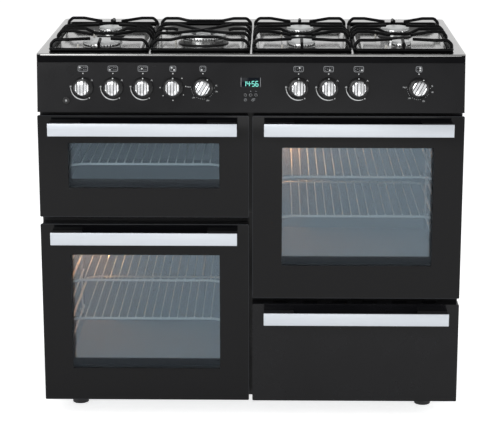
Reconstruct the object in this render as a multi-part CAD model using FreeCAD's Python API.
import FreeCAD, Part
import math
import os

# Range cooker with three ovens, a storage drawer and a seven-burner gas hob.
# Millimetres. X runs to the right, Y to the back, Z up. The origin is on the
# floor, under the middle of the cooker's whole depth, handles included.

V = FreeCAD.Vector

# ---------------------------------------------------------------- overall sizes
body_width = 1000.0
body_depth = 600.0             # door faces to the rear edge of the hob
hob_top_z = 900.0              # rim of the hob above the floor
plinth_z = 51.0                # underside of the cabinet above the floor
sheet = 2.0                    # every folded sheet of the cabinet
handle_reach = 40.0            # how far the bar handles stand out of the doors
overhang = 1.0                 # doors and hob stand out past the side panels

# ---------------------------------------------------------------- doors
door_depth = 36.0
door_gap = 6.0                 # door to front frame, filled by the seal
centre_gap = 8.0               # between left and right doors
fascia_gap = 8.0               # between the doors and the control panel
left_gap = 17.5                # between the two left doors
right_gap = 15.0               # between the right door and the drawer
top_left_door_height = 245.0
drawer_height = 246.0
glass = 4.0
frame_inset = 3.0              # door frame inside the edge of its outer glass
window_width = 356.0
main_window_rise = 81.0        # window above the bottom of a main door
main_window_drop = 76.0        # window below the top of a main door
grill_window_rise = 70.5
grill_window_drop = 66.0
inner_glass_lap = 14.0         # inner glass past the window on each side
window_margin = 4.0            # frame opening past the window on each side

# ---------------------------------------------------------------- door hinges
pivot_in = 18.0                # pin behind the door face
pivot_up = 12.0                # pin above the bottom of the door
hinge_offset = 213.0           # hinge from the middle of the door
pin_radius = 4.0
running_fit = 0.05
hinge_arm = 9.0
hinge_pocket = 12.0
cheek = 4.0
boss_radius = 8.0
arm_half_height = 7.0
hinge_clearance = 1.0          # air round the arm in the door and in the front frame
cheek_height = 26.0
hinge_plate = (28.0, 30.0, 3.0)

# ---------------------------------------------------------------- bar handles
handle_length = 441.0
handle_height = 30.5
handle_drop = 11.5             # below the top of the door or drawer
strip = 4.0
block_width = 72.0
block_height = 24.0

# ---------------------------------------------------------------- ovens
oven_width = 400.0
oven_depth = 420.0
main_floor_rise = 53.0         # oven floor above the bottom of its door
grill_floor_rise = 35.5
oven_top_drop = 46.0           # oven roof below the top of its door
lagging = 18.0
lagging_start = 20.0           # insulation behind the front frame
seal_width = 10.0
seal_offset = 4.0
clearance = 0.3

# ---------------------------------------------------------------- shelves
bar_radius = 3.0
wire_radius = 1.5
wire_count = 16
wire_margin = 33.25            # outermost wires inside the side bars of a shelf
shelf_front = 24.0             # front bar behind the oven's mouth
shelf_air = 13.0               # oven wall to the side bar of a shelf
shelf_droop = 4.0
shelf_bend = 12.0
shelf_shoulder = 31.0          # sloping ends of the front and rear bars
wire_bite = 0.8                # weld of a thin wire into the bars under it
low_shelf = 133.0              # above the oven floor
high_shelf = 230.0
grill_shelf = 78.0
rack_pitch = 48.5
rack_levels = 5
rack_rod = 2.5
rack_air = 11.0                # oven wall to the rods of a side rack
rack_ends = (45.0, 315.0)      # uprights behind the oven's mouth

# ---------------------------------------------------------------- fans and lamps
cover_width = 244.0
cover_height = 204.0
cover_depth = 34.0
impeller_radius = 62.0
impeller_depth = 20.0
impeller_back = 8.0
blade_count = 8
hub_radius = 8.0
shaft_radius = 3.0
motor_radius = 32.0
motor_length = 42.0
ring_radius = 80.0
element_radius = 3.3
element_bend = 14.0
leg_radius = 2.8               # cold ends of a ring element
leg_clearance = 0.7
leg_length = 14.0              # behind the oven's back wall
lamp_radius = 21.0
lamp_stand = 9.0
lamp_inset = 48.0              # middle of the lamp inside the oven's left wall
lamp_drop = 45.0               # lamp below the oven roof
lamp_holder = 15.0

# ---------------------------------------------------------------- control panel
fascia_height = 115.5
fascia_lean = 14.0             # top edge further back than the bottom edge
trim_height = 17.4
knob_pitch = 70.0
knob_start = 111.5             # first knob each side of the middle
skirt_radius = 24.0
skirt_height = 5.0
knob_radius = 17.5
knob_height = 29.0             # top of the cap above the skirt's underside
knob_taper = 1.0
knob_edge = 1.5
push_travel = 3.0
push_clearance = 1.0           # air left under the skirt of a pushed knob
spindle_radius = 4.0
spindle_reach = 20.0
spindle_tail = 46.0
collar_length = 4.0            # stop collar of a spindle
collar_lip = 2.5
tap_size = 26.0
tap_front = 22.0
neck_radius = 8.0              # neck of a gas tap, towards the panel
neck_length = 4.0
rail_radius = 9.0
rail_depth = 62.0
rail_end = 30.0                # gas rail past the outermost tap
rail_bend = 28.0
nut_depth = 12.0
control_size = 44.0
control_depth = 38.0
display_width = 47.0
display_height = 22.5
display_up = 12.0
button_radius = 5.0
button_pitch = 12.4
button_up = -17.0
button_stand = 2.2
button_tail = 4.0
button_travel = 1.5
timer_case = (64.0, 58.0, 22.0)
pane_depth = 4.5
pane_fit = 0.3                 # air round the display in its window
end_clearance = 0.5            # air past the end of a pushed button or spindle
ignition_radius = 8.5
ignition_x = -431.0
ignition_up = -31.0
ignition_travel = 3.0
ignition_tail = 12.0
ignition_stand = 3.4
switch_wall = 2.6
bezel_width = 2.4
bezel_height = 1.6

# ---------------------------------------------------------------- hob
hob_rim = 14.0                 # rim past the skirt of the hob
well_depth = 11.0
well_slope = 15.0
well_front = 62.0              # front edge of the wells behind the door faces
well_length = 416.0
hob_side = 22.0                # hob edge to the outer pan supports
support_gap = 4.0
support_inset = 6.0            # support bar outside the edge of its well
support_rod = 3.9
support_bend = 12.0
finger_rod = 3.8               # bars that are welded to the outer frame of a pan support
support_height = 28.0          # top of the pan supports above the hob rim
finger_spread = 69.0
finger_end = (26.0, 33.0)
finger_shoulder = 10.0
centre_dip = 12.0
front_burner = 143.0           # burner centres behind the door faces
rear_burner = 372.0
middle_bar = 255.0
bow_start = 182.0              # wok support: ends and middle of its bowed bars from its centre
bow_middle = 134.0
cross_reach = 75.0
cross_dip = 4.0
cross_lap = 1.6                # one bar of the cross lies this much lower than the other
top_corner = 70.0              # where the wok bars leave the outer frame's sides
bow_half = 40.0
stub_end = 62.0
dip_half = 25.0                # low middle of the twin support's cross bar
dip_start = 50.0
burner_foot = 4.0              # height of the base ring on the well floor
burner_crown = 15.0
burner_cap = 5.0
burner_stem = 26.0             # burner below the well floor
electrode_radius = 2.2
burner_sizes = {"front_left": 46.0, "rear_left": 30.0, "wok": 56.0,
                "front_middle": 34.0, "rear_middle": 35.0,
                "front_right": 24.0, "rear_right": 37.0}

# ---------------------------------------------------------------- drawer
tray_half = 205.0
tray_height = 150.0
tray_rise = 34.0               # tray floor above the bottom of the drawer
drawer_travel = 328.0
runner_hold = 33.0             # runner still in its rail when the drawer is open
mouth_clearance = 8.0          # front frame above and below the tray
runner_width = 8.0
runner_height = 12.0
runner_rise = 66.0             # runner above the tray floor
runner_clearance = 0.4
drawer_skin = 3.0

# ---------------------------------------------------------------- back and feet
back_recess = 30.0             # back panel in front of the hob's rear edge
foot_radius = 20.0
foot_height = 12.0
foot_stem = 6.0
foot_side = 70.0               # feet from the sides of the cabinet
foot_front = 130.0             # front feet behind the door faces
foot_back = 60.0
pan_edge = 25.0                # upturned edge of the base pan
inlet_radius = 10.4
inlet_length = 18.0
inlet_side = 60.0
terminal_box = (120.0, 26.0, 90.0)
terminal_side = 180.0
terminal_rise = 160.0
cable_radius = 10.2
strap_hole = 4.0
strap_side = 150.0
strap_drop = 160.0
louvre_length = 60.0
louvre_height = 5.0
louvre_pitch = 14.0
louvre_gap = 20.0              # between the columns of louvres
louvre_rows = 6
louvre_start = 110.0           # lowest louvre below the hob rim

# ---------------------------------------------------------------- worked out
door_face_y = -(body_depth + handle_reach) / 2 + handle_reach
door_rear_y = door_face_y + door_depth
frame_y = door_rear_y + door_gap
mouth_y = frame_y + sheet
oven_back_y = mouth_y + oven_depth
pan_front_y = mouth_y + hinge_plate[2]
hob_back_y = door_face_y + body_depth
back_y = hob_back_y - back_recess
hob_front_y = door_face_y + 10.0
cabinet_half = body_width / 2 - overhang
rim_z = hob_top_z - sheet
fascia_top_z = rim_z - trim_height - 2 * clearance
fascia_bottom_z = fascia_top_z - fascia_height
top_doors_z = fascia_bottom_z - fascia_gap
door_width = (body_width - centre_gap) / 2
tray_length = drawer_travel + runner_hold
shelf_half = oven_width / 2 - shelf_air
wire_pitch = 2 * (shelf_half - wire_margin) / (wire_count - 1)
rack_half = oven_width / 2 - rack_air
lamp_side = oven_width / 2 - lamp_inset
skirt_lift = push_travel + push_clearance
collar_back = tap_front - neck_length - push_travel - end_clearance
door_x = (door_width + centre_gap) / 2
slope = math.degrees(math.atan2(fascia_lean, fascia_height))
well_floor_z = hob_top_z - well_depth
support_pitch = (body_width - 2 * hob_side) / 4
support_half = (support_pitch - support_gap) / 2
main_left_top_z = top_doors_z - top_left_door_height - left_gap
drawer_top_z = plinth_z + drawer_height
PLACES = {"top_left": (-door_x, top_doors_z - top_left_door_height, top_doors_z),
          "main_left": (-door_x, plinth_z + overhang, main_left_top_z),
          "right": (door_x, drawer_top_z + right_gap, top_doors_z)}
FAN_OVENS = ("main_left", "right")


def block(x0, x1, y0, y1, z0, z1):
    return Part.makeBox(x1 - x0, y1 - y0, z1 - z0, V(x0, y0, z0))


def rod(start, end, radius):
    a, b = V(*start), V(*end)
    return Part.makeCylinder(radius, (b - a).Length, a, b - a)


def fuse(shapes):
    return shapes[0].multiFuse(shapes[1:]).removeSplitter()


def bent_rod(points, radius, bend, closed=False):
    """Round bar along straight runs joined by arcs with the bend radius given."""
    corners = [V(*p) for p in points]
    inner = corners if closed else corners[1:-1]
    edges = []
    count = len(corners)
    start = None if closed else corners[0]
    for i, corner in enumerate(inner):
        before = corners[(i - 1) % count if closed else i]
        after = corners[(i + 1) % count if closed else i + 2]
        to_before, to_after = V(before - corner).normalize(), V(after - corner).normalize()
        half_turn = (math.pi - to_before.getAngle(to_after)) / 2
        room = 0.45 * min((before - corner).Length, (after - corner).Length)
        cut = min(bend * math.tan(half_turn), room)
        turn = cut / math.tan(half_turn)
        bisector = V(to_before + to_after).normalize()
        middle = corner + bisector * (turn / math.cos(half_turn) - turn)
        leave, enter = corner + to_before * cut, corner + to_after * cut
        if start is not None:
            edges.append(Part.LineSegment(start, leave).toShape())
        else:
            first = leave
        edges.append(Part.Arc(leave, middle, enter).toShape())
        start = enter
    edges.append(Part.LineSegment(start, first if closed else corners[-1]).toShape())
    if closed:
        edges = edges[-1:] + edges[:-1]
    path = Part.Wire(edges)
    origin = edges[0].Vertexes[0].Point
    along = edges[0].tangentAt(edges[0].FirstParameter)
    ring = Part.Wire(Part.makeCircle(radius, origin, along))
    return path.makePipeShell([ring], True, False)


def mirrored(shape):
    return shape.mirror(V(0, 0, 0), V(1, 0, 0))


def on_fascia(shape, x, up):
    """Moves a shape drawn with +Z outwards onto the sloping control panel."""
    middle_y = door_face_y + fascia_lean / 2 + up * math.sin(math.radians(slope))
    middle_z = fascia_bottom_z + fascia_height / 2 + up * math.cos(math.radians(slope))
    place = FreeCAD.Placement(V(x, middle_y, middle_z), FreeCAD.Rotation(V(1, 0, 0), 90 - slope))
    moved = shape.copy()
    moved.Placement = place.multiply(shape.Placement)
    return moved


def stud(radius, low, high):
    """Cylinder along +Z from one height above the control panel to another."""
    return Part.makeCylinder(radius, high - low, V(0, 0, low))


# ---------------------------------------------------------------- cabinet
def oven_box(name):
    """Inside of one oven: left, right, floor and roof."""
    x, bottom, top = PLACES[name]
    rise = grill_floor_rise if name == "top_left" else main_floor_rise
    return x - oven_width / 2, x + oven_width / 2, bottom + rise, top - oven_top_drop


def pivot(name):
    x, bottom, top = PLACES[name]
    return x, door_face_y + pivot_in, bottom + pivot_up


def drawer_mouth():
    half = tray_half + runner_width + runner_clearance + sheet + mouth_clearance / 2
    low = plinth_z + tray_rise - mouth_clearance
    return door_x - half, door_x + half, low, low + tray_height + 2 * mouth_clearance


def vent_slots(x, z):
    """Row of slots that let the ovens' cooling air out between two doors."""
    slot_length, slot_height, slot_pitch = 34.0, 6.0, 72.0
    row = [block(x + i * slot_pitch - slot_length / 2, x + i * slot_pitch + slot_length / 2,
                 frame_y - 1, mouth_y + 1, z - slot_height / 2, z + slot_height / 2)
           for i in (-2.5, -1.5, -0.5, 0.5, 1.5, 2.5)]
    return row


def front_frame():
    plate = block(-cabinet_half, cabinet_half, frame_y, mouth_y, plinth_z, fascia_bottom_z)
    cuts = []
    for name in PLACES:
        x0, x1, z0, z1 = oven_box(name)
        cuts.append(block(x0, x1, frame_y - 1, mouth_y + 1, z0, z1))
        x, y, z = pivot(name)
        reach = hinge_arm / 2 + hinge_clearance
        rise = arm_half_height + hinge_clearance
        for side in (-1, 1):
            hinge = x + side * hinge_offset
            cuts.append(block(hinge - reach, hinge + reach, frame_y - 1, mouth_y + 1, z - rise, z + rise))
    x0, x1, z0, z1 = drawer_mouth()
    cuts.append(block(x0, x1, frame_y - 1, mouth_y + 1, z0, z1))
    cuts += vent_slots(-door_x, main_left_top_z + left_gap / 2)
    cuts += vent_slots(door_x, drawer_top_z + right_gap / 2)
    return plate.cut(fuse(cuts))


def side_panels():
    """Outer panels, each with a flange that the back panel is screwed to."""
    left = block(-cabinet_half, -cabinet_half + sheet, mouth_y, back_y, plinth_z, rim_z)
    flange = block(-cabinet_half + sheet, -cabinet_half + 16, back_y - 2 * sheet, back_y - sheet,
                   plinth_z + pan_edge + 5, rim_z - 20)
    left = fuse([left, flange])
    return [left, mirrored(left)]


def back_panel():
    half = cabinet_half - sheet
    plate = block(-half, half, back_y - sheet, back_y, plinth_z + sheet, rim_z)
    inlet = inlet_place()
    cuts = [rod((inlet[0], back_y - 9, inlet[2]), (inlet[0], back_y + 9, inlet[2]), rail_radius + 0.5)]
    x, y, z = strap_place()
    cuts.append(rod((x, back_y - 9, z), (x, back_y + 9, z), strap_hole))
    for column in range(-4, 4):
        for row in range(louvre_rows):
            x0 = column * (louvre_length + louvre_gap) + louvre_gap / 2
            z0 = rim_z - louvre_start + row * louvre_pitch
            cuts.append(block(x0, x0 + louvre_length, back_y - 9, back_y + 9, z0, z0 + louvre_height))
    return plate.cut(Part.makeCompound(cuts))


def base_pan():
    half = cabinet_half - sheet
    start, end = pan_front_y, back_y - sheet
    tray = block(-half, half, start, end, plinth_z, plinth_z + pan_edge)
    return tray.cut(block(-half + sheet, half - sheet, start + sheet, end - sheet,
                          plinth_z + sheet, plinth_z + pan_edge + 1))


def levelling_feet():
    feet = []
    for x in (-cabinet_half + foot_side, cabinet_half - foot_side):
        for y in (door_face_y + foot_front, back_y - foot_back):
            pad = rod((x, y, 0), (x, y, foot_height), foot_radius)
            pad = pad.makeFillet(3.0, [pad.Edges[0]])
            feet.append(fuse([pad, rod((x, y, foot_height), (x, y, plinth_z), foot_stem)]))
    return feet


def strap_place():
    return -cabinet_half + strap_side, back_y, rim_z - strap_drop


# ---------------------------------------------------------------- ovens
def oven_cavity(name):
    x0, x1, z0, z1 = oven_box(name)
    shell = block(x0 - sheet, x1 + sheet, mouth_y, oven_back_y + sheet, z0 - sheet, z1 + sheet)
    cuts = [block(x0, x1, mouth_y - 1, oven_back_y, z0, z1)]
    middle_x, middle_z = (x0 + x1) / 2, (z0 + z1) / 2
    holes = element_legs(name)
    if name in FAN_OVENS:
        holes.append((middle_x, middle_z, shaft_radius + 4))
        holes.append((x0 + oven_width / 2 - lamp_side, z1 - lamp_drop, lamp_holder + 0.5))
    for x, z, radius in holes:
        cuts.append(rod((x, oven_back_y - 5, z), (x, oven_back_y + 9, z), radius))
    return shell.cut(Part.makeCompound(cuts))


def element_legs(name):
    """Where a heating element passes the back wall, with the hole's radius."""
    x0, x1, z0, z1 = oven_box(name)
    middle_x, middle_z = (x0 + x1) / 2, (z0 + z1) / 2
    hole = (leg_radius if name in FAN_OVENS else element_radius) + leg_clearance
    if name in FAN_OVENS:
        lift = math.sqrt(ring_radius ** 2 - 18.0 ** 2)
        return [(middle_x - 18, middle_z + lift, hole), (middle_x + 18, middle_z + lift, hole)]
    return [(middle_x - 150, z1 - 28, hole), (middle_x + 150, z1 - 28, hole)]


def insulation(name):
    """Mineral-wool sleeve round the top, bottom and sides of one oven."""
    x0, x1, z0, z1 = oven_box(name)
    x0, x1, z0, z1 = x0 - sheet, x1 + sheet, z0 - sheet, z1 + sheet
    start, end = mouth_y + lagging_start, oven_back_y
    sleeve = block(x0 - lagging, x1 + lagging, start, end, z0 - lagging, z1 + lagging)
    return sleeve.cut(block(x0, x1, start - 1, end + 1, z0, z1))


def door_seal(name):
    x0, x1, z0, z1 = oven_box(name)
    o, w = seal_offset, seal_offset + seal_width
    y0, y1 = door_rear_y + clearance, frame_y
    ring = block(x0 - w, x1 + w, y0, y1, z0 - w, z1 + w)
    return ring.cut(block(x0 - o, x1 + o, y0 - 1, y1 + 1, z0 - o, z1 + o))


def shelf(name, height):
    """Chromed wire shelf: thick bars bent down to the side bars, thin wires laid over them."""
    x0, x1, z0, z1 = oven_box(name)
    middle, z = (x0 + x1) / 2, z0 + height
    front = mouth_y + shelf_front
    back = oven_back_y - (cover_depth + 5 if name in FAN_OVENS else 14)
    half = shelf_half
    low = z - shelf_droop
    bars = []
    for y in (front, back):
        bent = [(middle - half - 1, y, low), (middle - half + shelf_shoulder, y, z),
                (middle + half - shelf_shoulder, y, z), (middle + half + 1, y, low)]
        bars.append(bent_rod(bent, bar_radius, shelf_bend))
    for side in (-half, half):
        bars.append(rod((middle + side, front - 1, low), (middle + side, back + 1, low), bar_radius * 0.98))
    lift = z + bar_radius + wire_radius - wire_bite
    for i in range(wire_count):
        x = middle + (i - (wire_count - 1) / 2) * wire_pitch
        bars.append(rod((x, front, lift), (x, back, lift), wire_radius))
    return fuse(bars)


def oven_shelves():
    shelves = [shelf("top_left", grill_shelf)]
    for name in FAN_OVENS:
        shelves += [shelf(name, low_shelf), shelf(name, high_shelf)]
    return shelves


def side_rack(name, side):
    """Ladder of rods on one wall of a fan oven that the shelves slide onto."""
    x0, x1, z0, z1 = oven_box(name)
    x = (x0 + x1) / 2 + side * rack_half
    wall = (x0 + x1) / 2 + side * oven_width / 2
    drop = shelf_droop + bar_radius + rack_rod + clearance
    levels = [z0 + low_shelf + (i - 1) * rack_pitch - drop for i in range(rack_levels)]
    front, back = mouth_y + rack_ends[0], mouth_y + rack_ends[1]
    rods = [rod((x, front, z), (x, back, z), rack_rod) for z in levels]
    post = x + side * (2 * rack_rod - 0.6)
    for y in (front, back):
        rods.append(rod((post, y, levels[0] - 20), (post, y, levels[-1] + 20), rack_rod))
        for z in (levels[0] - 12, levels[-1] + 12):
            rods.append(rod((post - side, y, z), (wall, y, z), rack_rod + 0.8))
    return fuse(rods)


def grill_ledge(side):
    """Pressed ledge in the grill oven that its one shelf rests on."""
    x0, x1, z0, z1 = oven_box("top_left")
    middle = (x0 + x1) / 2
    top = z0 + grill_shelf - shelf_droop - bar_radius - clearance
    inner, wall = middle + side * (shelf_half - 4), middle + side * oven_width / 2
    return block(min(inner, wall), max(inner, wall), mouth_y + shelf_front, oven_back_y - 20, top - 6, top)


def shelf_rails():
    racks = [side_rack(name, side) for name in FAN_OVENS for side in (-1, 1)]
    return racks + [grill_ledge(-1), grill_ledge(1)]


def fan_middle(name):
    x0, x1, z0, z1 = oven_box(name)
    return (x0 + x1) / 2, (z0 + z1) / 2


def fan_cover(name):
    """Baffle over the fan: air goes in at the middle and out at the sides."""
    x, z = fan_middle(name)
    w, h = cover_width / 2, cover_height / 2
    front, back = oven_back_y - cover_depth, oven_back_y
    pan = block(x - w, x + w, front, back, z - h, z + h)
    cuts = [block(x - w + sheet, x + w - sheet, front + sheet, back + 1, z - h + sheet, z + h - sheet)]
    for count, ring in ((1, 0.0), (8, 18.0), (14, 33.0)):
        for i in range(count):
            angle = 2 * math.pi * i / count
            hole_x, hole_z = x + ring * math.cos(angle), z + ring * math.sin(angle)
            cuts.append(rod((hole_x, front - 1, hole_z), (hole_x, front + 5, hole_z), 5.0))
    for level in (-1, 0, 1):
        z0 = z + level * 56 - 22
        cuts.append(block(x - w - 1, x + w + 1, front + 12, front + 22, z0, z0 + 44))
    return pan.cut(Part.makeCompound(cuts))


def fan_motor(name):
    x, z = fan_middle(name)
    start = oven_back_y + sheet
    can = rod((x, start, z), (x, start + motor_length, z), motor_radius)
    shaft = rod((x, oven_back_y - impeller_back - impeller_depth - 2, z), (x, start + 5, z), shaft_radius)
    plate = block(x - 46, x + 46, start, start + sheet, z - 22, z + 22)
    return fuse([can, shaft, plate])


def fan_impeller(name):
    x, z = fan_middle(name)
    back = oven_back_y - impeller_back
    front = back - impeller_depth
    parts = [rod((x, back - sheet, z), (x, back, z), impeller_radius),
             rod((x, front, z), (x, back, z), hub_radius)]
    for i in range(blade_count):
        blade = block(x + 22, x + impeller_radius - 2, front, back - 0.5, z - 0.8, z + 0.8)
        blade.rotate(V(x + 22, back, z), V(0, 1, 0), 24)
        blade.rotate(V(x, back, z), V(0, 1, 0), 360.0 * i / blade_count)
        parts.append(blade)
    bore = rod((x, front - 1, z), (x, back + 1, z), shaft_radius + running_fit)
    return fuse(parts).cut(bore)


def ring_element(name):
    x, z = fan_middle(name)
    y = oven_back_y - 17
    ring = Part.makeTorus(ring_radius, element_radius, V(x, y, z), V(0, 1, 0))
    legs = [rod((leg_x, y, leg_z), (leg_x, oven_back_y + leg_length, leg_z), leg_radius)
            for leg_x, leg_z, hole in element_legs(name)]
    return fuse([ring] + legs)


def grill_element():
    x0, x1, z0, z1 = oven_box("top_left")
    middle, z = (x0 + x1) / 2, z1 - 28
    back, front = oven_back_y - 30, mouth_y + 60
    points = [(middle - 150, oven_back_y + leg_length, z)]
    for i, x in enumerate((-150, -90, -30, 30, 90, 150)):
        ends = (back, front) if i % 2 == 0 else (front, back)
        points += [(middle + x, ends[0], z), (middle + x, ends[1], z)]
    points = [points[0]] + points[2:]
    points[-1] = (middle + 150, oven_back_y + leg_length, z)
    hangers = [rod((middle + x, mouth_y + 120, z), (middle + x, mouth_y + 120, z1), 2.0) for x in (-90, 90)]
    return fuse([bent_rod(points, element_radius, element_bend)] + hangers)


def oven_lamp(name):
    x0, x1, z0, z1 = oven_box(name)
    x, z = (x0 + x1) / 2 - lamp_side, z1 - lamp_drop
    lens = rod((x, oven_back_y - lamp_stand, z), (x, oven_back_y, z), lamp_radius)
    front_edge = [e for e in lens.Edges if abs(e.BoundBox.YMax - (oven_back_y - lamp_stand)) < 0.01]
    lens = lens.makeFillet(5.0, front_edge)
    holder = rod((x, oven_back_y, z), (x, oven_back_y + 40, z), lamp_holder)
    return fuse([lens, holder])


# ---------------------------------------------------------------- doors
def window(name):
    """Clear part of a door's glass: left, right, bottom and top."""
    x, bottom, top = PLACES[name]
    rise, drop = main_window_rise, main_window_drop
    if name == "top_left":
        rise, drop = grill_window_rise, grill_window_drop
    return x - window_width / 2, x + window_width / 2, bottom + rise, top - drop


def door_glass(name):
    """Outer pane over the whole door and the smaller inner pane behind it."""
    x, bottom, top = PLACES[name]
    half = door_width / 2
    outer = block(x - half, x + half, door_face_y, door_face_y + glass, bottom, top)
    upright = [e for e in outer.Edges if abs(e.Vertexes[0].Y - e.Vertexes[1].Y) > 1]
    outer = outer.makeFillet(3.0, upright)
    x0, x1, z0, z1 = window(name)
    lap = inner_glass_lap
    inner = block(x0 - lap, x1 + lap, door_rear_y - glass, door_rear_y, z0 - lap, z1 + lap)
    return [outer, inner]


def door_frame(name):
    """Steel pan behind the outer glass, with a tunnel round the window."""
    x, bottom, top = PLACES[name]
    half = door_width / 2 - frame_inset
    z0, z1 = bottom + frame_inset, top - frame_inset
    front, rear = door_face_y + glass, door_rear_y
    pan = block(x - half, x + half, front, rear, z0, z1)
    pan = pan.cut(block(x - half + sheet, x + half - sheet, front - 1, rear - sheet, z0 + sheet, z1 - sheet))
    wx0, wx1, wz0, wz1 = window(name)
    lap, margin = inner_glass_lap, window_margin
    step = rear - glass - sheet
    ledge = block(wx0 - lap - 3, wx1 + lap + 3, step, rear, wz0 - lap - 3, wz1 + lap + 3)
    wall = margin + sheet
    tunnel = block(wx0 - wall, wx1 + wall, front, rear, wz0 - wall, wz1 + wall)
    frame = fuse([pan, ledge, tunnel] + cheeks(name, front, rear, z0))
    seat = block(wx0 - lap - 0.2, wx1 + lap + 0.2, rear - glass, rear + 1, wz0 - lap - 0.2, wz1 + lap + 0.2)
    opening = block(wx0 - margin, wx1 + margin, front - 1, rear + 1, wz0 - margin, wz1 + margin)
    return frame.cut(seat).cut(opening).cut(hinge_pockets(name))


def cheeks(name, front, rear, z0):
    """Pairs of plates in the foot of a door that turn on the hinge pins."""
    x, y, z = pivot(name)
    plates = []
    for side in (-1, 1):
        for edge in (-1, 1):
            inner = x + side * hinge_offset + edge * hinge_pocket / 2
            outer = inner + edge * cheek
            plates.append(block(min(inner, outer), max(inner, outer), front, rear, z0, z0 + cheek_height))
    return plates


def hinge_pockets(name):
    x, y, z = pivot(name)
    cuts = []
    for side in (-1, 1):
        middle = x + side * hinge_offset
        reach = hinge_pocket / 2
        swing = boss_radius + hinge_clearance
        cuts.append(block(middle - reach, middle + reach, y - swing, door_rear_y + 1,
                          z - pivot_up - 1, z + swing))
        cuts.append(rod((middle - reach - cheek - 1, y, z), (middle + reach + cheek + 1, y, z),
                        pin_radius + running_fit))
    return Part.makeCompound(cuts)


def door_hinge(name, side):
    """Arm from the cabinet into the foot of a door, with its riveted pin."""
    x, y, z = pivot(name)
    x += side * hinge_offset
    half = hinge_arm / 2
    plate_width, plate_height, plate_depth = hinge_plate
    arm = block(x - half, x + half, y, mouth_y + plate_depth, z - arm_half_height, z + arm_half_height)
    boss = rod((x - half, y, z), (x + half, y, z), boss_radius)
    pin_half = hinge_pocket / 2 + cheek + 0.5
    pin = rod((x - pin_half, y, z), (x + pin_half, y, z), pin_radius)
    plate = block(x - plate_width / 2, x + plate_width / 2, mouth_y, mouth_y + plate_depth,
                  z - plate_height / 2 + 3, z + plate_height / 2 - 1)
    return fuse([arm, boss, pin, plate])


def bar_handle(x, top):
    """Flat aluminium strip carried on two black end blocks."""
    z1 = top - handle_drop
    z0 = z1 - handle_height
    half = handle_length / 2
    front = door_face_y - handle_reach
    bar = block(x - half, x + half, front, front + strip, z0, z1)
    ends = []
    for side in (-1, 1):
        a, b = x + side * half, x + side * (half - block_width)
        middle = (z0 + z1) / 2
        ends.append(block(min(a, b), max(a, b), front + strip, door_face_y,
                          middle - block_height / 2, middle + block_height / 2))
    return [bar] + ends


# ---------------------------------------------------------------- drawer
def drawer_front():
    half = door_width / 2
    rear = door_rear_y
    pan = block(door_x - half, door_x + half, door_face_y, rear, plinth_z, drawer_top_z)
    upright = [e for e in pan.Edges if abs(e.Vertexes[0].Y - e.Vertexes[1].Y) > 1]
    pan = pan.makeFillet(3.0, upright)
    return pan.cut(block(door_x - half + sheet, door_x + half - sheet, door_face_y + drawer_skin, rear + 1,
                         plinth_z + sheet, drawer_top_z - sheet))


def tray_box():
    x0, x1 = door_x - tray_half, door_x + tray_half
    floor = plinth_z + tray_rise
    return x0, x1, door_rear_y, door_rear_y + tray_length, floor, floor + tray_height


def drawer_tray():
    x0, x1, y0, y1, z0, z1 = tray_box()
    tray = block(x0, x1, y0, y1, z0, z1)
    half = door_width / 2 - sheet
    plate = block(door_x - half, door_x + half, y0 - sheet, y0, plinth_z + sheet, drawer_top_z - sheet)
    runner_z = z0 + runner_rise
    runners = [block(a, a + runner_width, mouth_y, y1 - 3, runner_z, runner_z + runner_height)
               for a in (x0 - runner_width, x1)]
    tray = fuse([tray, plate] + runners)
    return tray.cut(block(x0 + sheet, x1 - sheet, y0, y1 - sheet, z0 + sheet, z1 + 1))


def drawer_rail(side):
    """Channel for one runner, on a plate that stands on the base pan."""
    x0, x1, y0, y1, z0, z1 = tray_box()
    c = runner_clearance
    low = z0 + runner_rise - c
    high = low + runner_height + 2 * c
    inner = tray_half + 1.0
    outer = tray_half + runner_width + c
    start, end = pan_front_y + sheet, y1 + 10
    plate = block(outer, outer + sheet, start, end, plinth_z + sheet, high + sheet)
    lips = [block(inner, outer, start, end, z, z + sheet) for z in (low - sheet, high)]
    rail = fuse([plate] + lips)
    if side < 0:
        rail = mirrored(rail)
    rail.translate(V(door_x, 0, 0))
    return rail


# ---------------------------------------------------------------- control panel
def knob_places():
    """X of every control, from left to right, by what it turns."""
    left = [-knob_start - i * knob_pitch for i in range(5)]
    right = [knob_start + i * knob_pitch for i in range(5)]
    hob = [left[4], left[3], left[2], right[0], right[1], right[2]]
    return hob, left[1], left[0], right[4]


def control_panel():
    zb, zt = fascia_bottom_z, fascia_top_z
    outer = [V(0, door_face_y, zb), V(0, door_face_y + fascia_lean, zt), V(0, mouth_y, zt), V(0, mouth_y, zb)]
    lean = fascia_lean / fascia_height
    back = door_face_y + sheet / math.cos(math.radians(slope))
    inner = [V(0, back + sheet * lean, zb + sheet), V(0, back + fascia_lean - sheet * lean, zt - sheet),
             V(0, mouth_y + 1, zt - sheet), V(0, mouth_y + 1, zb + sheet)]
    solids = []
    for corners, half in ((outer, cabinet_half), (inner, cabinet_half - sheet)):
        face = Part.Face(Part.makePolygon([corner + V(-half, 0, 0) for corner in corners + corners[:1]]))
        solids.append(face.extrude(V(2 * half, 0, 0)))
    hob, selector, grill, right = knob_places()
    bezel = stud(ignition_radius + 0.4 + bezel_width, -1, bezel_height)
    panel = fuse([solids[0].cut(solids[1]), on_fascia(bezel, ignition_x, ignition_up)])
    holes = [on_fascia(stud(spindle_radius + 1, -9, 9), x, 0) for x in hob + [selector, grill, right]]
    holes += [on_fascia(stud(button_radius + clearance, -9, 9), x, button_up) for x in button_places()]
    holes.append(on_fascia(stud(ignition_radius + 0.4, -9, 9), ignition_x, ignition_up))
    pane = Part.makeBox(display_width, display_height, 12, V(-display_width / 2, -display_height / 2, -6))
    holes.append(on_fascia(pane, 0, display_up))
    return panel.cut(Part.makeCompound(holes))


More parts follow.
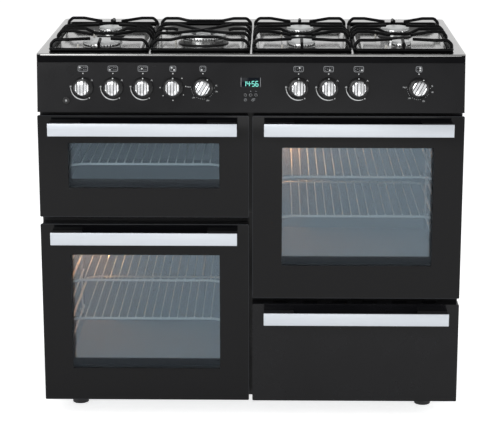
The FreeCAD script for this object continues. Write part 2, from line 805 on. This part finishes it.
def button_places():
    return [i * button_pitch for i in (-1, 0, 1)]


def hob_spindle(x):
    rod_part = stud(spindle_radius, -spindle_tail, spindle_reach)
    collar = stud(spindle_radius + collar_lip, -collar_back, -collar_back + collar_length)
    return on_fascia(fuse([rod_part, collar]), x, 0)


def knob(x, bore):
    """Black skirt and the tapered cap that seats on it, both hollow for the spindle."""
    cap_start = skirt_lift + skirt_height
    skirt = stud(skirt_radius, skirt_lift, cap_start)
    cap = Part.makeCone(knob_radius, knob_radius - knob_taper, knob_height - skirt_height, V(0, 0, cap_start))
    rim = [e for e in cap.Edges if e.BoundBox.ZMin > skirt_lift + knob_height - 0.1]
    cap = cap.makeFillet(knob_edge, rim)
    hole = stud(bore + running_fit, skirt_lift - 1, spindle_reach + clearance)
    return [on_fascia(piece.cut(hole), x, 0) for piece in (skirt, cap)]


def gas_tap(x):
    half = tap_size / 2
    body = Part.makeBox(tap_size, tap_size, rail_depth - tap_front, V(-half, -half, -rail_depth))
    neck = stud(neck_radius, -tap_front, -tap_front + neck_length)
    bore = stud(spindle_radius + clearance, -spindle_tail - push_travel - end_clearance, 0)
    rail = rod((-tap_size, 0, -rail_depth), (tap_size, 0, -rail_depth), rail_radius + running_fit)
    return on_fascia(fuse([body, neck]).cut(bore).cut(rail), x, 0)


def rail_axis():
    """Y and Z of the gas rail, behind the control panel."""
    tilt = math.radians(slope)
    y = door_face_y + fascia_lean / 2 + rail_depth * math.cos(tilt)
    z = fascia_bottom_z + fascia_height / 2 - rail_depth * math.sin(tilt)
    return y, z


def inlet_place():
    y, z = rail_axis()
    return cabinet_half - inlet_side, back_y + inlet_length, z


def gas_rail():
    y, z = rail_axis()
    hob, selector, grill, right = knob_places()
    x, end, z = inlet_place()
    nut_start = back_y - sheet - 2 - nut_depth
    points = [(hob[0] - rail_end, y, z), (x, y, z), (x, nut_start, z)]
    nut = rod((x, nut_start, z), (x, nut_start + nut_depth, z), rail_radius + 4)
    thread = rod((x, back_y, z), (x, end, z), inlet_radius)
    tail = rod((x, nut_start, z), (x, back_y + 1, z), rail_radius)
    return fuse([bent_rod(points, rail_radius, rail_bend), nut, tail, thread])


def oven_control(x):
    half = control_size / 2
    body = Part.makeBox(control_size, control_size, control_depth, V(-half, -half, -sheet - control_depth))
    return on_fascia(fuse([body, stud(shaft_radius, -sheet - 1, spindle_reach)]), x, 0)


def timer_module():
    """Clock behind the panel: a display block and wells for three buttons."""
    width, height, depth = timer_case
    body = Part.makeBox(width, height, depth, V(-width / 2, -height / 2, -sheet - depth))
    pane_width, pane_height = display_width - 2 * pane_fit, display_height - 2 * pane_fit
    pane = Part.makeBox(pane_width, pane_height, pane_depth - end_clearance,
                        V(-pane_width / 2, display_up - pane_height / 2, -pane_depth))
    sunk = button_tail + button_travel + 2
    wells = []
    for x in button_places():
        well = stud(button_radius + 2 * clearance, -sunk, 0)
        well.translate(V(x, button_up, 0))
        wells.append(well)
    return on_fascia(fuse([body, pane]).cut(Part.makeCompound(wells)), 0, 0)


def timer_button(x):
    cap = stud(button_radius, -button_tail, button_stand)
    rim = [e for e in cap.Edges if e.BoundBox.ZMin > button_stand - 0.1]
    return on_fascia(cap.makeFillet(0.8, rim), x, button_up)


def ignition_button():
    cap = stud(ignition_radius, -ignition_tail, ignition_stand)
    rim = [e for e in cap.Edges if e.BoundBox.ZMin > ignition_stand - 0.1]
    return on_fascia(cap.makeFillet(1.0, rim), ignition_x, ignition_up)


def ignition_switch():
    reach = ignition_tail + ignition_travel + end_clearance
    bore = ignition_radius + 0.4
    can = stud(bore + switch_wall, -reach - switch_wall, -sheet)
    return on_fascia(can.cut(stud(bore, -reach, 5)), ignition_x, ignition_up)


def front_trim():
    y0 = hob_front_y + 0.5
    top = rim_z - clearance
    bar = block(-cabinet_half, cabinet_half, y0, y0 + hob_rim - 1, top - trim_height, top)
    ends = [e for e in bar.Edges if e.BoundBox.YMax < y0 + 0.1 and e.BoundBox.XLength < 0.1]
    return bar.makeFillet(5.0, ends)


# ---------------------------------------------------------------- hob
def frustum(x0, x1, y0, y1, z1, depth, inset):
    """Tapered block: full size at height z1, smaller all round at its foot."""
    def loop(margin, z):
        corners = [(x0 + margin, y0 + margin), (x1 - margin, y0 + margin),
                   (x1 - margin, y1 - margin), (x0 + margin, y1 - margin)]
        return Part.makePolygon([V(x, y, z) for x, y in corners + corners[:1]])
    return Part.makeLoft([loop(inset, z1 - depth), loop(0, z1)], True, True)


def support_places():
    return [(i - 1.5) * support_pitch for i in range(4)]


def burners():
    """Name, X, Y and crown radius of each burner."""
    x = support_places()
    front, rear = door_face_y + front_burner, door_face_y + rear_burner
    middle = door_face_y + middle_bar
    spots = {"front_left": (x[0], front), "rear_left": (x[0], rear), "wok": (x[1], middle),
             "front_middle": (x[2], front), "rear_middle": (x[2], rear),
             "front_right": (x[3], front), "rear_right": (x[3], rear)}
    return [(name, spot[0], spot[1], burner_sizes[name]) for name, spot in spots.items()]


def hob_top():
    """Pressed stainless tray: flat rim, short skirt and four wells."""
    half = body_width / 2
    rim = block(-half, half, hob_front_y, hob_back_y, rim_z, hob_top_z)
    upright = [e for e in rim.Edges if e.BoundBox.ZLength > 1]
    rim = rim.makeFillet(12.0, upright)
    s = hob_rim
    skirt_low = rim_z - 12
    skirt_back = back_y - sheet
    skirt = block(-half + s, half - s, hob_front_y + s, skirt_back, skirt_low, rim_z)
    skirt = skirt.cut(block(-half + s + sheet, half - s - sheet, hob_front_y + s + sheet, skirt_back - sheet,
                            skirt_low - 1, rim_z + 1))
    side = support_half + support_gap / 2 - support_inset - 5
    y0, y1 = door_face_y + well_front, door_face_y + well_front + well_length
    pans, wells = [], []
    for x in support_places():
        pans.append(frustum(x - side - sheet, x + side + sheet, y0 - sheet, y1 + sheet, rim_z,
                            well_depth, well_slope))
        wells.append(frustum(x - side, x + side, y0, y1, hob_top_z, well_depth, well_slope))
    tray = fuse([rim, skirt] + pans)
    holes = []
    for name, x, y, size in burners():
        holes.append(rod((x, y, well_floor_z - 9), (x, y, well_floor_z + 9), size * 0.6 + 0.5))
        ex = x - size - 12
        holes.append(rod((ex, y, well_floor_z - 9), (ex, y, well_floor_z + 9), electrode_radius + 0.4))
    return tray.cut(Part.makeCompound(wells)).cut(Part.makeCompound(holes))


def burner_body(x, y, size):
    z = well_floor_z
    stem = rod((x, y, z - burner_stem), (x, y, z), size * 0.6)
    foot = rod((x, y, z), (x, y, z + burner_foot), size + 6)
    crown = rod((x, y, z + burner_foot), (x, y, z + burner_foot + burner_crown), size)
    mixer = rod((x, y, z - burner_stem + 6), (x + size * 0.6 + 22, y, z - burner_stem + 6), 5.0)
    return fuse([stem, foot, crown, mixer])


def electrode(x, y, size):
    x -= size + 12
    pin = rod((x, y, well_floor_z - 8), (x, y, well_floor_z + burner_foot + burner_crown), electrode_radius)
    return pin


def burner_bodies():
    bodies = [burner_body(x, y, size) for name, x, y, size in burners()]
    return bodies + [electrode(x, y, size) for name, x, y, size in burners()]


def burner_caps():
    caps = []
    z = well_floor_z + burner_foot + burner_crown
    for name, x, y, size in burners():
        cap = rod((x, y, z), (x, y, z + burner_cap), size - 1.5)
        rim = [e for e in cap.Edges if e.BoundBox.ZMin > z + burner_cap - 0.1]
        caps.append(cap.makeFillet(2.0, rim))
    return caps


def support_frame():
    """Low loop of round bar that a pan support stands on, centred on X 0."""
    r = support_rod
    half = support_half - r
    y0, y1 = door_face_y + well_front - 10, door_face_y + well_front + well_length + 10
    z = hob_top_z + r
    corners = [(-half, y0, z), (half, y0, z), (half, y1, z), (-half, y1, z)]
    return [bent_rod(corners, r, support_bend, closed=True)], half, y0, y1, z


def finger(side, y, end_x, end_y, half, low):
    """Bar that climbs from one side of the loop and points at a burner."""
    top = hob_top_z + support_height - support_rod
    s = finger_shoulder
    path = [(side * half, y, low), (side * half, y, top - s), (side * (half - s), y, top),
            (side * (half - 4 * s), y, top), (side * end_x, end_y, top - 3)]
    return [bent_rod(path, finger_rod, finger_shoulder)]


def cross_bar(points, half, low):
    """Bar from one side of the loop to the other, through points on top."""
    top = hob_top_z + support_height - support_rod
    s = finger_shoulder
    first, last = points[0], points[-1]
    path = [(-half, first[1], low), (-half, first[1], top - s), (-half + s, first[1], top)]
    path += [(x, y, top - dip) for x, y, dip in points]
    path += [(half - s, last[1], top), (half, last[1], top - s), (half, last[1], low)]
    return [bent_rod(path, finger_rod, finger_shoulder)]


def centre_finger(y_bar, y_end, low):
    top = hob_top_z + support_height - support_rod
    step = 12 if y_end > y_bar else -12
    path = [(0, y_bar, low), (0, y_bar + step, top - 8), (0, y_end, top - 3)]
    return [bent_rod(path, finger_rod, finger_shoulder)]


def twin_support():
    """Pan support over two burners, one behind the other."""
    bars, half, y0, y1, low = support_frame()
    end_x, end_y = finger_end
    for middle in (door_face_y + front_burner, door_face_y + rear_burner):
        for side in (-1, 1):
            for way in (-1, 1):
                bars += finger(side, middle + way * finger_spread, end_x, middle + way * end_y, half, low)
    y = door_face_y + middle_bar
    dip = [(-dip_start, y, 0), (-dip_half, y, centre_dip), (dip_half, y, centre_dip), (dip_start, y, 0)]
    bars += cross_bar(dip, half, low)
    bars += centre_finger(y0, door_face_y + front_burner - end_y - 8, low)
    bars += centre_finger(y1, door_face_y + rear_burner + end_y + 8, low)
    return fuse(bars)


def wok_support():
    """Pan support over the one large burner: two bowed bars and a cross."""
    bars, half, y0, y1, low = support_frame()
    middle = door_face_y + middle_bar
    for way in (-1, 1):
        outer, inner = middle + way * bow_start, middle + way * bow_middle
        bow = [(-top_corner, outer, 0), (-bow_half, inner, 0), (bow_half, inner, 0), (top_corner, outer, 0)]
        reach = way * cross_reach
        dip = cross_dip + way * cross_lap / 2
        cross = [(-top_corner, middle + reach, 0), (0, middle, dip), (top_corner, middle - reach, 0)]
        bars += cross_bar(bow, half, low) + cross_bar(cross, half, low)
        bars += finger(way, middle, stub_end, middle, half, low)
    return fuse(bars)


def pan_supports():
    twin = twin_support()
    supports = []
    for index, x in enumerate(support_places()):
        piece = wok_support() if index == 1 else twin.copy()
        piece.translate(V(x, 0, 0))
        supports.append(piece)
    return supports


# ---------------------------------------------------------------- back
def terminal_place():
    return cabinet_half - terminal_side, plinth_z + terminal_rise


def terminal_cover():
    """Box on the back panel where the mains cable would be joined."""
    x, z = terminal_place()
    width, depth, height = terminal_box
    case = block(x - width / 2, x + width / 2, back_y, back_y + depth, z - height / 2, z + height / 2)
    case = case.cut(block(x - width / 2 + sheet, x + width / 2 - sheet, back_y - 1, back_y + depth - sheet,
                          z - height / 2 + sheet, z + height / 2 - sheet))
    hole = rod((x, back_y + depth / 2, z - height), (x, back_y + depth / 2, z), cable_radius)
    return case.cut(hole)


# ---------------------------------------------------------------- all nodes
def nodes():
    hob, selector, grill, right = knob_places()
    parts = {"front_frame": front_frame(), "side_panels": side_panels(), "back_panel": back_panel(),
             "base_pan": base_pan(), "levelling_feet": levelling_feet(), "hob_top": hob_top(),
             "hob_front_trim": front_trim(), "control_panel": control_panel(),
             "door_seals": [door_seal(name) for name in PLACES],
             "door_hinges": [door_hinge(name, side) for name in PLACES for side in (-1, 1)],
             "oven_insulation": [insulation(name) for name in PLACES],
             "oven_shelves": oven_shelves(), "shelf_rails": shelf_rails(),
             "fan_covers": [fan_cover(name) for name in FAN_OVENS],
             "fan_motors": [fan_motor(name) for name in FAN_OVENS],
             "heating_elements": [ring_element(name) for name in FAN_OVENS] + [grill_element()],
             "oven_lamps": [oven_lamp(name) for name in FAN_OVENS],
             "burner_bodies": burner_bodies(), "burner_caps": burner_caps(),
             "pan_supports": pan_supports(),
             "gas_manifold": [gas_rail()] + [gas_tap(x) for x in hob],
             "oven_controls": [oven_control(x) for x in (selector, grill, right)]
             + [timer_module(), ignition_switch()],
             "terminal_box": terminal_cover(),
             "drawer_front": drawer_front(), "drawer_tray": drawer_tray(),
             "drawer_handle": bar_handle(door_x, drawer_top_z),
             "drawer_rails": [drawer_rail(-1), drawer_rail(1)],
             "selector_knob": knob(selector, shaft_radius),
             "grill_thermostat_knob": knob(grill, shaft_radius),
             "right_thermostat_knob": knob(right, shaft_radius),
             "ignition_button": ignition_button()}
    for name, (x, bottom, top) in PLACES.items():
        parts["oven_cavity_" + name] = oven_cavity(name)
        parts[name + "_door_glass"] = door_glass(name)
        parts[name + "_door_frame"] = door_frame(name)
        parts[name + "_door_handle"] = bar_handle(x, top)
    for name in FAN_OVENS:
        parts["fan_impeller_" + name] = fan_impeller(name)
    for index, x in enumerate(hob, start=1):
        parts["hob_spindle_%d" % index] = hob_spindle(x)
        parts["hob_knob_%d" % index] = knob(x, spindle_radius)
    for index, x in enumerate(button_places(), start=1):
        parts["timer_button_%d" % index] = timer_button(x)
    return parts


os.makedirs("parts", exist_ok=True)
for node, shape in nodes().items():
    if isinstance(shape, list):
        shape = Part.makeCompound(shape)
    shape.exportStep("parts/" + node + ".step")
